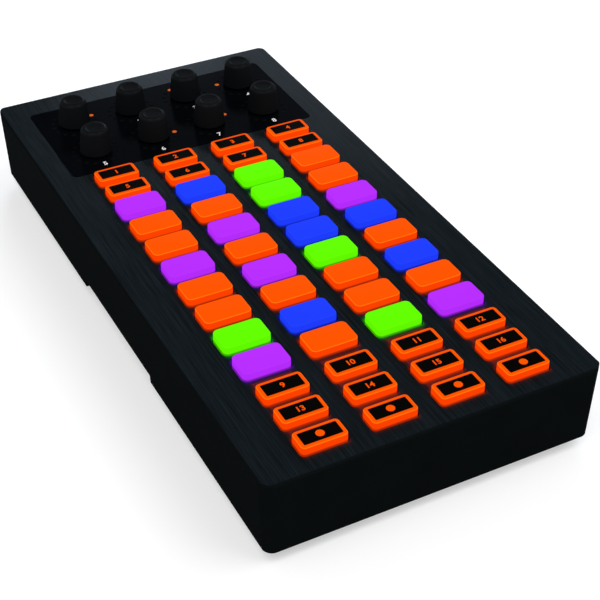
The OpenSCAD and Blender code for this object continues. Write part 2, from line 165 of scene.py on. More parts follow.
class Shader:
    """A node tree, with short ways to add the nodes that the finishes share."""

    def __init__(self, tree: bpy.types.NodeTree) -> None:
        """Empties the tree and keeps it."""
        self.tree = tree
        self.tree.nodes.clear()

    def node(self, kind: str, settings: dict[str, Any], inputs: dict[Union[int, str], Value],
             output: Union[int, str] = 0) -> Wire:
        """Adds a node of any type.

        Args:
            kind: The node's type.
            settings: Its settings, set before its sockets. "stops" holds the stops of a smooth ramp, and
                "steps" those of a stepped one.
            inputs: A value or a link for each of its sockets, by name or number.
            output: The name or number of the output that is wanted.

        Returns:
            That output.
        """
        made = self.tree.nodes.new(kind)
        for name, value in settings.items():
            if name in ("stops", "steps"):
                made.color_ramp.interpolation = "LINEAR" if name == "stops" else "CONSTANT"
                self._set_stops(made.color_ramp, value)
            else:
                setattr(made, name, value)
        for key, value in inputs.items():
            self._feed(made.inputs[key], value)
        return Wire(self, made.outputs[output] if made.outputs else None)

    @staticmethod
    def _set_stops(ramp: bpy.types.ColorRamp, stops: list[tuple[float, Colour]]) -> None:
        """Gives a ramp its stops.

        Args:
            ramp: The ramp, which starts with two stops.
            stops: The place and the colour of each stop, in order.
        """
        while len(ramp.elements) < len(stops):
            ramp.elements.new(1.0)
        for element, (place, colour) in zip(ramp.elements, stops):
            element.position = place
            element.color = (*colour, 1.0)

    def _feed(self, socket: bpy.types.NodeSocket, value: Value) -> None:
        """Links a socket, or sets its value.

        Args:
            socket: The socket to feed.
            value: A wire, a number, a vector or a colour.
        """
        if isinstance(value, Wire):
            self.tree.links.new(value.socket, socket)
        elif socket.type == "RGBA":
            socket.default_value = (*value, 1.0)
        else:
            socket.default_value = value

    def spot(self, stretch: Triple) -> Wire:
        """Object coordinates, scaled along each axis."""
        here = self.node("ShaderNodeTexCoord", {}, {}, "Object")
        return self.node("ShaderNodeMapping", {}, {"Vector": here, "Scale": stretch})

    def noise(self, size: Union[float, Triple], detail: float = 2.0) -> Wire:
        """Noise with features of a real size.

        Args:
            size: Their size in metres, or one for each axis.
            detail: How many finer layers are added.

        Returns:
            A value from 0 to 1, mostly near a half.
        """
        spans = size if isinstance(size, tuple) else (size, size, size)
        place = self.spot((1 / spans[0], 1 / spans[1], 1 / spans[2]))
        return self.node("ShaderNodeTexNoise", {}, {"Vector": place, "Scale": 1.0, "Detail": detail})

    def blend(self, share: Value, low: Value, high: Value) -> Wire:
        """Mixes two colours, by the share of the second."""
        return self.node("ShaderNodeMix", {"data_type": "RGBA"}, {0: share, 6: low, 7: high}, 2)

    def tinted(self, share: Value, colour: Colour, low: float, high: float) -> Wire:
        """Mixes two tones of a colour, by the share of the second."""
        return self.blend(share, shade(colour, low), shade(colour, high))

    def ramp(self, value: Value, start: float, end: float, floor: float = 0.0) -> Wire:
        """Turns a stretch of values into a share, from a floor at its start to one at its end."""
        sockets = {"Value": value, "From Min": start, "From Max": end, "To Min": floor}
        return self.node("ShaderNodeMapRange", {}, sockets)

    def bump(self, height: Value, depth: float) -> Wire:
        """Turns a height from 0 to 1 into a normal, with a relief of a depth in metres."""
        sockets = {"Height": height, "Distance": depth, "Strength": 1.0}
        return self.node("ShaderNodeBump", {}, sockets, "Normal")

    def upward(self) -> Wire:
        """How far a surface faces up, from -1 to 1."""
        normal = self.node("ShaderNodeNewGeometry", {}, {}, "Normal")
        return self.node("ShaderNodeSeparateXYZ", {}, {0: normal}, "Z")

    def along(self, axis: str) -> Wire:
        """The place along one axis of the object."""
        here = self.node("ShaderNodeTexCoord", {}, {}, "Object")
        return self.node("ShaderNodeSeparateXYZ", {}, {0: here}, axis)

    def coat(self, sockets: dict[str, Value]) -> Wire:
        """Adds a Principled surface with these sockets."""
        return self.node("ShaderNodeBsdfPrincipled", {}, sockets, "BSDF")

    def end(self, surface: Wire) -> None:
        """Ends the material in a surface."""
        self.node("ShaderNodeOutputMaterial", {}, {"Surface": surface})

    def surface(self, sockets: dict[str, Value]) -> None:
        """Ends the material in a Principled surface with these sockets."""
        self.end(self.coat(sockets))


class Finish(ABC):
    """A finish of the object, which lays its nodes into a shader."""

    name: str

    @abstractmethod
    def lay(self, shader: Shader) -> None:
        """Lays the finish's nodes into an empty shader."""


@lru_cache(maxsize=None)
def material_of(finish: Finish) -> bpy.types.Material:
    """Builds a finish's material the first time that it is asked for.

    Args:
        finish: The finish.

    Returns:
        Its material.
    """
    material = bpy.data.materials.new(finish.name)
    material.use_nodes = True
    finish.lay(Shader(material.node_tree))
    return material


@dataclass(frozen=True)
class MouldedPlastic(Finish):
    """Moulded plastic with a fine spark texture and a slow drift of tone.

    Level tops can take painted shade or painted light against the walls, and hands can have polished the
    upper edges.
    """

    name: str
    colour: Colour
    roughness: float = 0.5
    gloss: float = 0.2
    grain: float = 0.3 * MM
    relief: float = 0.02 * MM
    drift: float = 0.25
    polish: float = 0.0
    # The tone of level tops as a share of the walls': below one it paints shade on them, above one light.
    crown: float = 1.0
    cloud: float = 14 * MM
    cloud_wear: float = 0.16
    grain_wear: float = 0.1
    polish_roughness: float = 0.25
    off_wall: Pair = (0.15, 0.45)
    off_top: Pair = (0.995, 0.93)

    def lay(self, shader: Shader) -> None:
        """Lays a grained surface whose tone and roughness drift.

        Args:
            shader: The empty shader.
        """
        grain = shader.noise(self.grain)
        cloud = shader.noise(self.cloud, detail=4.0)
        tone = self._drifting(shader, cloud, self.colour)
        # Painted shade on level tops: their tone is scaled by the crown share.
        if self.crown != 1:
            level = shader.upward().within(0, 1)
            tone = shader.blend(level, tone, self._drifting(shader, cloud, shade(self.colour, self.crown)))
        sockets: dict[str, Value] = {
            "Base Color": tone,
            "Roughness": self.roughness + cloud.swing(self.cloud_wear) + grain.swing(self.grain_wear),
            "Specular IOR Level": self.gloss,
            "Normal": shader.bump(grain, self.relief),
        }
        if self.polish:
            sockets["Coat Weight"] = self._rim(shader) * self.polish
            sockets["Coat Roughness"] = self.polish_roughness
        shader.surface(sockets)

    def _drifting(self, shader: Shader, cloud: Wire, colour: Colour) -> Wire:
        """A colour that drifts with the cloud."""
        return shader.tinted(cloud, colour, 1 - self.drift, 1 + self.drift)

    def _rim(self, shader: Shader) -> Wire:
        """One on rounded upper edges and nought on walls and level tops."""
        up = shader.upward()
        return shader.ramp(up, *self.off_wall) * shader.ramp(up, *self.off_top)


@dataclass(frozen=True)
class GlossPanel(Finish):
    """Smoked gloss sheet with faint wipe marks."""

    name: str
    colour: Colour
    roughness: float = 0.1
    dulling: float = 0.14
    gloss: float = 0.0004
    wipe: Triple = (26 * MM, 9 * MM, 9 * MM)
    dust: float = 0.5 * MM
    relief: float = 0.001 * MM

    def lay(self, shader: Shader) -> None:
        """Lays a polished surface that wipe marks dull a little.

        Args:
            shader: The empty shader.
        """
        wipe = shader.noise(self.wipe, detail=4.0)
        shader.surface({
            "Base Color": shader.tinted(wipe, self.colour, low=0.7, high=1.3),
            "Roughness": self.roughness + wipe * self.dulling,
            "Specular IOR Level": self.gloss,
            "Normal": shader.bump(shader.noise(self.dust), self.relief),
        })


class Glow(Enum):
    """The colours that a key glows in: its top, its side with painted shade, its rounded edge with a painted
    highlight, and the light painted round it on the plate.
    """

    ORANGE = (paint(255, 85, 0), paint(255, 66, 0), paint(255, 120, 14), paint(255, 50, 0))
    PURPLE = (paint(184, 46, 255), paint(182, 44, 254), paint(187, 50, 255), paint(116, 0, 255))
    BLUE = (paint(31, 62, 255), paint(30, 60, 254), paint(35, 67, 255), paint(12, 24, 255))
    GREEN = (paint(100, 255, 0), paint(97, 253, 0), paint(106, 255, 6), paint(40, 255, 0))

    @property
    def around(self) -> Colour:
        """The colour of the light painted round a key on the plate."""
        return self.value[3]


@dataclass(frozen=True)
class Spill:
    """How the light of a block of keys is painted on the plate.

    Attributes:
        foot: The share of a key's light that is painted on the plate at its foot.
        between: The share painted into the gap between two keys of a column.
        fade: The distance over which that light drops to about a third.
        behind: How far behind the middle of the first row the painted light in the gaps begins.
        ends: How many times faster the light fades at a key's ends than in front of it.
    """

    foot: float
    between: float
    fade: float
    behind: float = 0.0
    ends: float = 3.0


@dataclass(frozen=True)
class KeyBlock:
    """Keys on an even grid, seen from above, and the light painted on the plate round them."""

    first: Pair
    pitch: Pair
    columns: int
    rows: int
    half: Pair
    corner_r: float
    glows: tuple[Glow, ...]
    spill: Spill

    def light(self, shader: Shader, x: Wire, y: Wire, under: Value) -> Wire:
        """Adds the block's painted light to the painted light that is already there.

        Args:
            shader: The shader of the plate.
            x: The place across the case.
            y: The place along the case.
            under: The painted light of the other blocks.

        Returns:
            The colour of the painted light.
        """
        ahead = self.first[1] - y
        column = self._nearest(x - self.first[0], self.pitch[0], self.columns)
        row = self._nearest(ahead, self.pitch[1], self.rows)
        across = abs(x - self.first[0] - column * self.pitch[0]) - (self.half[0] - self.corner_r)
        along = abs(ahead - row * self.pitch[1]) - (self.half[1] - self.corner_r)
        past_end = (across - self.corner_r).within(0, 1) * (self.spill.ends - 1)
        reach = (across.within(0, 1) ** 2 + along.within(0, 1) ** 2) ** 0.5 - self.corner_r + past_end
        beyond = abs(ahead - ahead.within(-self.spill.behind, (self.rows - 1) * self.pitch[1]))
        aside = (across.within(0, 1) ** 2 + beyond ** 2) ** 0.5
        share = self._faded(reach) * self.spill.foot + self._faded(aside) * self.spill.between
        return shader.blend(share, under, self._colour(shader, column, row))

    @staticmethod
    def _nearest(distance: Wire, pitch: float, count: int) -> Wire:
        """The number of the nearest key along one axis, counted from nought."""
        return math.floor(distance * (1 / pitch) + 0.5).within(0, count - 1)

    def _faded(self, distance: Wire) -> Wire:
        """The share of light that is left at a distance."""
        return math.e ** (distance * (-1 / self.spill.fade))

    def _colour(self, shader: Shader, column: Wire, row: Wire) -> Value:
        """Looks up the colour of the nearest key.

        Args:
            shader: The shader of the plate.
            column: The key's column.
            row: The key's row.

        Returns:
            The colour of the light painted round it.
        """
        if len(self.glows) == 1:
            return self.glows[0].around
        count = len(self.glows)
        steps = [(number / count, glow.around) for number, glow in enumerate(self.glows)]
        return shader.node("ShaderNodeValToRGB", {"steps": steps}, {
            "Fac": (row * float(self.columns) + column + 0.5) * (1 / count)})


@dataclass(frozen=True)
class BrushedMetal(Finish):
    """Black anodised sheet, brushed along the case, with the light of the keys painted on it and a dull rim.
    """

    name: str
    dark: Colour
    light: Colour
    rim: Colour
    blocks: tuple[KeyBlock, ...]
    roughness: float = 0.15
    wear: float = 0.2
    gloss: float = 0.003
    rim_roughness: float = 0.6
    hair: Pair = (0.16 * MM, 10 * MM)
    streak: Pair = (0.36 * MM, 26 * MM)
    streak_share: float = 0.7
    contrast: Pair = (0.38, 0.66)
    level: Pair = (0.93, 0.99)
    relief: float = 0.012 * MM

    def lay(self, shader: Shader) -> None:
        """Lays long streaks over finer hairs, in tone, roughness and relief, and dulls what faces sideways.

        Args:
            shader: The empty shader.
        """
        hair = shader.noise((self.hair[0], self.hair[1], self.hair[0]), detail=1.0)
        streak = shader.noise((self.streak[0], self.streak[1], self.streak[0]), detail=3.0)
        lines = streak * self.streak_share + hair * (1 - self.streak_share)
        # Painted light: the glow of the keys on the plate, as emission on the sheet and its rim alike.
        painted_key_light = {"Emission Color": self._spilled(shader), "Emission Strength": 1.0}
        face = shader.coat({
            "Base Color": shader.blend(shader.ramp(lines, *self.contrast), self.dark, self.light),
            "Roughness": self.roughness + lines.swing(self.wear),
            "Specular IOR Level": self.gloss,
            "Normal": shader.bump(hair, self.relief),
            **painted_key_light,
        })
        edge = shader.coat({
            "Base Color": shader.tinted(lines, self.rim, low=0.6, high=1.4),
            "Roughness": self.rim_roughness,
            "Specular IOR Level": 0.0,
            **painted_key_light,
        })
        flat = shader.ramp(shader.upward(), *self.level)
        shader.end(shader.node("ShaderNodeMixShader", {}, {0: flat, 1: edge, 2: face}))

    def _spilled(self, shader: Shader) -> Value:
        """Gathers the light that every block of keys paints on the plate.

        Args:
            shader: The shader of the plate.

        Returns:
            The colour of the painted light.
        """
        x, y = shader.along("X"), shader.along("Y")
        light: Value = BLACK
        for block in self.blocks:
            light = block.light(shader, x, y, light)
        return light


@dataclass(frozen=True)
class LitSilicone(Finish):
    """Translucent silicone, lit from inside."""

    name: str
    glow: Glow
    foot: float
    # The share of the glow left at the foot: painted shade where the key meets the plate.
    foot_light: float = 0.4
    climb: float = 0.5 * MM
    strength: float = 0.94
    reflected: float = 0.08
    roughness: float = 0.55
    wear: float = 0.2
    gloss: float = 0.002
    mottle: float = 0.12
    dimmest: float = 0.7
    cloud: float = 5 * MM
    grain: float = 0.25 * MM
    relief: float = 0.01 * MM
    # Stops by how far the surface faces up: painted shade on the side, a painted highlight on the rounded
    # edge, then the top.
    side_end: float = 0.25
    edge: Pair = (0.5, 0.8)
    top_start: float = 0.97

    def lay(self, shader: Shader) -> None:
        """Lays a glowing surface with painted shade towards the foot, whose side (painted shade), rounded
        edge (painted highlight) and top differ by the way they face.

        Args:
            shader: The empty shader.
        """
        # The side colour is painted shade and the edge colour a painted highlight.
        top, side, edge, _ = self.glow.value
        stops = [(0.0, side), (self.side_end, side), (self.edge[0], edge), (self.edge[1], edge),
                 (self.top_start, top), (1.0, top)]
        lit = shader.node("ShaderNodeValToRGB", {"stops": stops}, {"Fac": shader.upward()})
        # Painted shade: the glow dims towards the foot of the key.
        rise = shader.ramp(shader.along("Z"), self.foot, self.foot + self.climb, floor=self.foot_light)
        mottled = self._mottled(shader, shader.blend(rise, BLACK, lit))
        grain = shader.noise(self.grain)
        shader.surface({
            "Base Color": shader.blend(self.reflected, BLACK, mottled),
            "Roughness": self.roughness + grain.swing(self.wear),
            "Specular IOR Level": self.gloss,
            "Emission Color": mottled,
            "Emission Strength": self.strength,
            "Normal": shader.bump(grain, self.relief),
        })

    def _mottled(self, shader: Shader, lit: Wire) -> Wire:
        """Dims a light a little, in soft clouds.

        Args:
            shader: The shader of the key.
            lit: The colour of the light.

        Returns:
            The dimmed colour.
        """
        veil = shader.tinted(shader.noise(self.cloud, detail=3.0), WHITE, low=self.dimmest, high=1.0)
        return shader.node("ShaderNodeMix", {"data_type": "RGBA", "blend_type": "MULTIPLY"},
                           {0: self.mottle, 6: lit, 7: veil}, 2)


@dataclass(frozen=True)
class PlatedMetal(Finish):
    """Plated or turned metal with fine drawing marks."""

    name: str
    colour: Colour
    roughness: float = 0.28
    wear: float = 0.25
    tarnish: float = 3 * MM
    marks: Triple = (0.12 * MM, 2.5 * MM, 0.12 * MM)
    relief: float = 0.004 * MM

    def lay(self, shader: Shader) -> None:
        """Lays bright metal with drifting tarnish and fine marks.

        Args:
            shader: The empty shader.
        """
        tarnish = shader.noise(self.tarnish, detail=4.0)
        marks = shader.noise(self.marks)
        shader.surface({
            "Base Color": shader.tinted(tarnish, self.colour, low=0.75, high=1.1),
            "Metallic": 1.0,
            "Roughness": self.roughness + marks.swing(self.wear),
            "Normal": shader.bump(marks, self.relief),
        })


@dataclass(frozen=True)
class MattRubber(Finish):
    """Matt rubber with a soft, slightly dusty skin."""

    name: str
    colour: Colour
    dust: Colour
    dust_share: float = 0.5
    dusty: Pair = (0.5, 0.75)
    roughness: float = 0.8
    wear: float = 0.2
    gloss: float = 0.2
    patch: float = 4 * MM
    grain: float = 0.35 * MM
    relief: float = 0.03 * MM

    def lay(self, shader: Shader) -> None:
        """Lays a matt surface with patches of dust.

        Args:
            shader: The empty shader.
        """
        dusty = shader.ramp(shader.noise(self.patch, detail=5.0), *self.dusty)
        grain = shader.noise(self.grain)
        shader.surface({
            "Base Color": shader.blend(dusty * self.dust_share, self.colour, self.dust),
            "Roughness": self.roughness + grain.swing(self.wear),
            "Specular IOR Level": self.gloss,
            "Normal": shader.bump(grain, self.relief),
        })


@dataclass(frozen=True)
class BoardMask(Finish):
    """Solder mask over copper tracks."""

    name: str
    mask: Colour
    track: Colour
    pitch: float = 9 * MM
    cloud: float = 6 * MM
    roughness: float = 0.3
    wear: float = 0.15
    relief: float = 0.03 * MM

    def lay(self, shader: Shader) -> None:
        """Lays square tracks under a glossy mask.

        Args:
            shader: The empty shader.
        """
        place = shader.spot((1 / self.pitch, 1 / self.pitch, 1 / self.pitch))
        tracks = shader.node("ShaderNodeTexBrick", {"offset": 0.3}, {
            "Vector": place, "Scale": 1.0, "Mortar Size": 0.05, "Brick Width": 0.7, "Row Height": 0.35,
        }, "Fac")
        cloud = shader.noise(self.cloud, detail=3.0)
        mask = shader.tinted(cloud, self.mask, low=0.8, high=1.0)
        shader.surface({
            "Base Color": shader.blend(tracks, mask, self.track),
            "Roughness": self.roughness + cloud * self.wear,
            "Normal": shader.bump(tracks, self.relief),
        })


@dataclass(frozen=True)
class Print(Finish):
    """A printed film of ink."""

    name: str
    colour: Colour
    roughness: float = 0.4
    wear: float = 0.2
    gloss: float = 0.15
    cover: float = 0.8 * MM
    relief: float = 0.002 * MM

    def lay(self, shader: Shader) -> None:
        """Lays ink with a slightly uneven cover.

        Args:
            shader: The empty shader.
        """
        cover = shader.noise(self.cover, detail=3.0)
        shader.surface({
            "Base Color": shader.tinted(cover, self.colour, low=0.85, high=1.0),
            "Roughness": self.roughness + cover.swing(self.wear),
            "Specular IOR Level": self.gloss,
            "Normal": shader.bump(cover, self.relief),
        })


@dataclass(frozen=True)
class LightLens(Finish):
    """The resin of a light dot, smoky when dark and glowing when lit."""

    name: str
    colour: Colour
    lit: Colour = BLACK
    strength: float = 0.0
    side_light: float = 0.45
    roughness: float = 0.5
    wear: float = 0.2
    gloss: float = 0.001
    cloud: float = 0.6 * MM

    def lay(self, shader: Shader) -> None:
        """Lays resin that is brightest at the crown of the lens.

        Args:
            shader: The empty shader.
        """
        cloud = shader.noise(self.cloud)
        shader.surface({
            "Base Color": shader.tinted(cloud, self.colour, low=0.7, high=1.0),
            "Roughness": self.roughness + cloud * self.wear,
            "Specular IOR Level": self.gloss,
            "Emission Color": shader.tinted(shader.upward(), self.lit, low=self.side_light, high=1.0),
            "Emission Strength": self.strength,
        })


@dataclass(frozen=True)
class ClearGuide(Finish):
    """Clear moulded light guide."""

    name: str
    colour: Colour
    flow: Triple = (2 * MM, 2 * MM, 8 * MM)
    roughness: float = 0.12
    wear: float = 0.15

    def lay(self, shader: Shader) -> None:
        """Lays clear resin with faint flow marks.

        Args:
            shader: The empty shader.
        """
        flow = shader.noise(self.flow, detail=3.0)
        shader.surface({
            "Base Color": shader.tinted(flow, self.colour, low=0.85, high=1.0),
            "Roughness": self.roughness + flow * self.wear,
            "Transmission Weight": 0.9,
            "IOR": 1.49,
        })


CASE_PLASTIC = MouldedPlastic("case_plastic", paint(12, 15, 16), roughness=0.5, gloss=0.0002)
PANEL_SHEET = GlossPanel("panel_sheet", paint(5, 6, 9))
CARRIER_PLASTIC = MouldedPlastic("carrier_plastic", paint(30, 33, 36), roughness=0.6)
BASE_PLASTIC = MouldedPlastic("base_plastic", paint(52, 55, 59), roughness=0.6, grain=0.6 * MM,
                              relief=0.05 * MM)
FOOT_RUBBER = MattRubber("foot_rubber", paint(22, 22, 23), paint(52, 52, 53))
MAT_RUBBER = MattRubber("mat_rubber", paint(90, 93, 96), paint(120, 122, 124))
SCREW_STEEL = PlatedMetal("screw_steel", (0.42, 0.42, 0.43), roughness=0.36)
ENCODER_STEEL = PlatedMetal("encoder_steel", (0.45, 0.46, 0.47))
SHAFT_STEEL = PlatedMetal("shaft_steel", (0.6, 0.6, 0.61), roughness=0.22)
SOCKET_NICKEL = PlatedMetal("socket_nickel", (0.66, 0.66, 0.66), roughness=0.2)
CONTACT_GOLD = PlatedMetal("contact_gold", (0.85, 0.6, 0.25), roughness=0.22)
SOCKET_INSERT = MouldedPlastic("socket_insert", paint(212, 212, 206), gloss=0.4, drift=0.05)
BOARD_MASK = BoardMask("board_mask", paint(13, 59, 36), paint(34, 92, 52))
CHIP_PLASTIC = MouldedPlastic("chip_plastic", paint(34, 34, 36), roughness=0.55)
LIGHT_CHIP = Print("light_chip", paint(236, 230, 205))
GUIDE_RESIN = ClearGuide("guide_resin", (0.3, 0.31, 0.33))
# The knob tops take painted shade through a crown below one.
KNOB_RUBBER = MouldedPlastic("knob_rubber", paint(20, 22, 24), roughness=0.42, gloss=0.0007,
                             grain=0.22 * MM, polish=0.05, crown=0.6)
LABEL_FILM = Print("label_film", paint(6, 5, 4), gloss=0.0008)
PANEL_INK = Print("panel_ink", paint(246, 246, 246), roughness=0.5)
DARK_LENS = LightLens("dark_lens", paint(12, 13, 15))
LIT_LENS = LightLens("lit_lens", paint(90, 40, 10), lit=paint(200, 92, 36), strength=1.0)


@dataclass(frozen=True)
class Spot:
    """The box of a CAD node at rest."""

    low: Vector
    high: Vector

    @classmethod
    def of(cls, node: str) -> "Spot":
        """Reads the box of a node from the frame."""
        return cls(*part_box(node))

    @property
    def centre(self) -> Vector:
        """The middle of the box."""
        return (self.low + self.high) / 2

    @property
    def size(self) -> Vector:
        """The lengths of the box's sides."""
        return self.high - self.low


SILICONE = {glow: LitSilicone(f"silicone_{glow.name.lower()}", glow, foot=Spot.of("faceplate").high.z)
            for glow in Glow}


def box_of(verts: Iterable[Any]) -> tuple[Vector, Vector]:
    """Measures the box round some vertices.

    Args:
        verts: The vertices of a finished mesh or of one in the making.

    Returns:
        The lowest and the highest corner.
    """
    parts = list(zip(*(vert.co for vert in verts)))
    return Vector([min(part) for part in parts]), Vector([max(part) for part in parts])


class Form:
    """A mesh in the making, shaped with bmesh operators."""

    SMOOTH_UNDER: ClassVar[float] = math.radians(32)
    MERGE: ClassVar[float] = 0.0005 * MM

    def __init__(self) -> None:
        """Starts an empty mesh."""
        self.bm = bmesh.new()

    def rounded_face(self, place: Vector, width: float, length: float, radius: float,
                     steps: int = 6) -> BMFace:
        """Lays a flat rectangle with round corners.

        Args:
            place: The middle of the face.
            width: Its size along X.
            length: Its size along Y.
            radius: The radius of its corners.
            steps: The number of edges in a corner.

        Returns:
            The face.
        """
        before = set(self.bm.faces)
        matrix = Matrix.Translation(place) @ Matrix.Diagonal((width, length, 1, 1))
        made = bmesh.ops.create_grid(self.bm, x_segments=1, y_segments=1, size=0.5, matrix=matrix)
        bmesh.ops.bevel(self.bm, geom=made["verts"], offset=radius, offset_type="OFFSET", affect="VERTICES",
                        segments=steps, profile=0.5, material=-1)
        return next(face for face in self.bm.faces if face not in before)

    def pull(self, face: BMFace, rise: float, draw: float = 0.0) -> BMFace:
        """Extrudes a face along Z.

        Args:
            face: The face to extrude.
            rise: How far it moves up.
            draw: How far each of its sides moves in.

        Returns:
            The moved face.
        """
        inside = all(len(edge.link_faces) > 1 for edge in face.edges)
        made = bmesh.ops.extrude_face_region(self.bm, geom=[face])["geom"]
        verts = [part for part in made if isinstance(part, BMVert)]
        bmesh.ops.translate(self.bm, verts=verts, vec=(0, 0, rise))
        moved = next(part for part in made if isinstance(part, BMFace))
        if inside:
            bmesh.ops.delete(self.bm, geom=[face], context="FACES_ONLY")
        if draw:
            middle = moved.calc_center_bounds()
            reach = [max(abs(vert.co[i] - middle[i]) for vert in verts) for i in range(2)]
            bmesh.ops.scale(self.bm, vec=(1 - draw / reach[0], 1 - draw / reach[1], 1), verts=verts,
                            space=Matrix.Translation(-middle))
        return moved

    def inset(self, face: BMFace, width: float) -> BMFace:
        """Shrinks a face, which leaves a border of a width round it."""
        bmesh.ops.inset_region(self.bm, faces=[face], thickness=width, use_even_offset=True)
        return face

    def round_edges(self, edges: list[BMEdge], radius: float, steps: int = 4) -> None:
        """Rounds edges by a radius, in a number of steps."""
        bmesh.ops.bevel(self.bm, geom=edges, offset=radius, offset_type="OFFSET", affect="EDGES",
                        segments=steps, profile=0.5, material=-1)

    def block(self, place: Vector, size: Triple, radius: float) -> None:
        """Adds a box with rounded edges.

        Args:
            place: The middle of the box.
            size: The lengths of its sides.
            radius: The rounding of its edges.
        """
        matrix = Matrix.Translation(place) @ Matrix.Diagonal((*size, 1))
        corners = bmesh.ops.create_cube(self.bm, size=1, matrix=matrix)["verts"]
        self.round_edges(list({edge for vert in corners for edge in vert.link_edges}), radius, steps=2)

    def lathe(self, profile: Profile, axis: Vector, steps: int) -> None:
        """Turns a half section round an upright axis.

        Args:
            profile: The distance from the axis and the height of each point.
            axis: A point on the axis.
            steps: The number of faces round it.
        """
        verts = [self.bm.verts.new((axis.x + radius, axis.y, height)) for radius, height in profile]
        edges = [self.bm.edges.new(pair) for pair in zip(verts, verts[1:])]
        bmesh.ops.spin(self.bm, geom=[*verts, *edges], cent=(axis.x, axis.y, 0), axis=(0, 0, 1),
                       dvec=(0, 0, 0), angle=math.tau, steps=steps, use_merge=True, use_duplicate=False)
        bmesh.ops.remove_doubles(self.bm, verts=self.bm.verts[:], dist=self.MERGE)

    def post(self, axis: Vector, radius: float, low: float, high: float, steps: int) -> None:
        """Adds an upright cylinder between two heights."""
        self.lathe([(0, low), (radius, low), (radius, high), (0, high)], axis, steps)

    def digits(self, text: str, place: Vector, height: float, weight: float, thickness: float) -> None:
        """Adds a number as a thin plate.

        Args:
            text: The number.
            place: The middle of its underside.
            height: The height of its digits.
            weight: How much its strokes are fattened.
            thickness: The thickness of the plate.
        """
        curve = bpy.data.curves.new("digits", "FONT")
        curve.body = text
        curve.extrude = 0.5  # half of a thickness of one, which the sizing below scales
        curve.offset = weight
        writer = bpy.data.objects.new("digits", curve)
        bpy.context.scene.collection.objects.link(writer)
        shaped = writer.evaluated_get(bpy.context.evaluated_depsgraph_get())
        mesh = bpy.data.meshes.new_from_object(shaped)
        low, high = box_of(mesh.vertices)
        scale = height / (high.y - low.y)
        sizing = Matrix.Diagonal((scale, scale, thickness, 1))
        foot = Vector(((low.x + high.x) / 2, (low.y + high.y) / 2, low.z))
        mesh.transform(Matrix.Translation(place) @ sizing @ Matrix.Translation(-foot))
        self.bm.from_mesh(mesh)
        bmesh.ops.remove_doubles(self.bm, verts=self.bm.verts[:], dist=self.MERGE)
        bpy.data.objects.remove(writer)
        bpy.data.curves.remove(curve)
        bpy.data.meshes.remove(mesh)

    def piece(self, name: str, body: str, finish: Finish, slot: str,
              stands_for: tuple[str, ...] = ()) -> None:
        """Ends the mesh as a piece of the object.

        Args:
            name: The piece's name.
            body: The body that it rides on.
            finish: Its finish.
            slot: The record's material slot for it. Not used.
            stands_for: The CAD nodes that it replaces.
        """
        bmesh.ops.recalc_face_normals(self.bm, faces=self.bm.faces[:])
        mesh = bpy.data.meshes.new(name)
        self.bm.to_mesh(mesh)
        self.bm.free()
        mesh.shade_smooth()
        mesh.set_sharp_from_angle(angle=self.SMOOTH_UNDER)
        mesh.materials.append(material_of(finish))
        made = bpy.data.objects.new(name, mesh)
        bpy.context.scene.collection.objects.link(made)
        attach(made, body)
        if stands_for:
            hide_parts(*stands_for)
        LOG.info("%s on %s: %d faces", name, body, len(mesh.polygons))


def arc(centre: Pair, radius: float, start: float, end: float, steps: int) -> Profile:
    """Points along an arc of a half section.

    Args:
        centre: The distance from the axis and the height of the arc's middle.
        radius: Its radius.
        start: The angle of its first point, in degrees from level.
        end: The angle of its last point.
        steps: The number of stretches between them.

    Returns:
        The points, both ends among them.
    """
    angles = [math.radians(start + (end - start) * i / steps) for i in range(steps + 1)]
    return [(centre[0] + radius * math.cos(a), centre[1] + radius * math.sin(a)) for a in angles]


@dataclass(frozen=True)
class LitKey:
    """A hollow silicone key with a skirt, a drafted wall and a soft top edge."""

    corner_r: float
    skirt: float = 0.8 * MM
    skirt_t: float = 1.0 * MM
    wall: float = 1.4 * MM
    roof: float = 1.8 * MM
    draft: float = 0.12 * MM
    edge_r: float = 0.42 * MM

    def add(self, form: Form, low: Vector, high: Vector) -> None:
        """Adds one key to a mesh.

        Args:
            form: The mesh.
            low: The lowest corner of the key with its skirt.
            high: The highest corner.
        """
        middle = (low + high) / 2
        size = high - low
        place = Vector((middle.x, middle.y, low.z))
        foot = form.rounded_face(place, size.x, size.y, self.corner_r + self.skirt)
        shoulder = form.inset(form.pull(foot, self.skirt_t), self.skirt)
        crown = form.pull(shoulder, size.z - self.skirt_t, self.draft)
        form.round_edges(list(crown.edges), self.edge_r)
        form.pull(form.inset(foot, self.skirt + self.wall), size.z - self.roof)


def block_of(nodes: list[str], columns: list[float], key: LitKey, glows: tuple[Glow, ...],
             spill: Spill) -> KeyBlock:
    """Reads the grid of a block of keys from the frame.

    Args:
        nodes: The node of each row's first key, or of the whole row, from the back.
        columns: The middle of each column.
        key: The shape of its keys.
        glows: The colour of all the keys, or of each of them row by row.
        spill: How their light falls on the plate.

    Returns:
        The block.
    """
    spots = [Spot.of(node) for node in nodes]
    back, front = spots[0], spots[-1]
    return KeyBlock(
        first=(columns[0], back.centre.y),
        pitch=(columns[1] - columns[0], (back.centre.y - front.centre.y) / (len(spots) - 1)),
        columns=len(columns),
        rows=len(spots),
        half=(columns[0] - back.low.x - key.skirt, back.size.y / 2 - key.skirt),
        corner_r=key.corner_r,
        glows=glows,
        spill=spill)


class LabelMark(Enum):
    """What the window of a key's label shows."""

    NUMBER = "number"
    DOT = "dot"


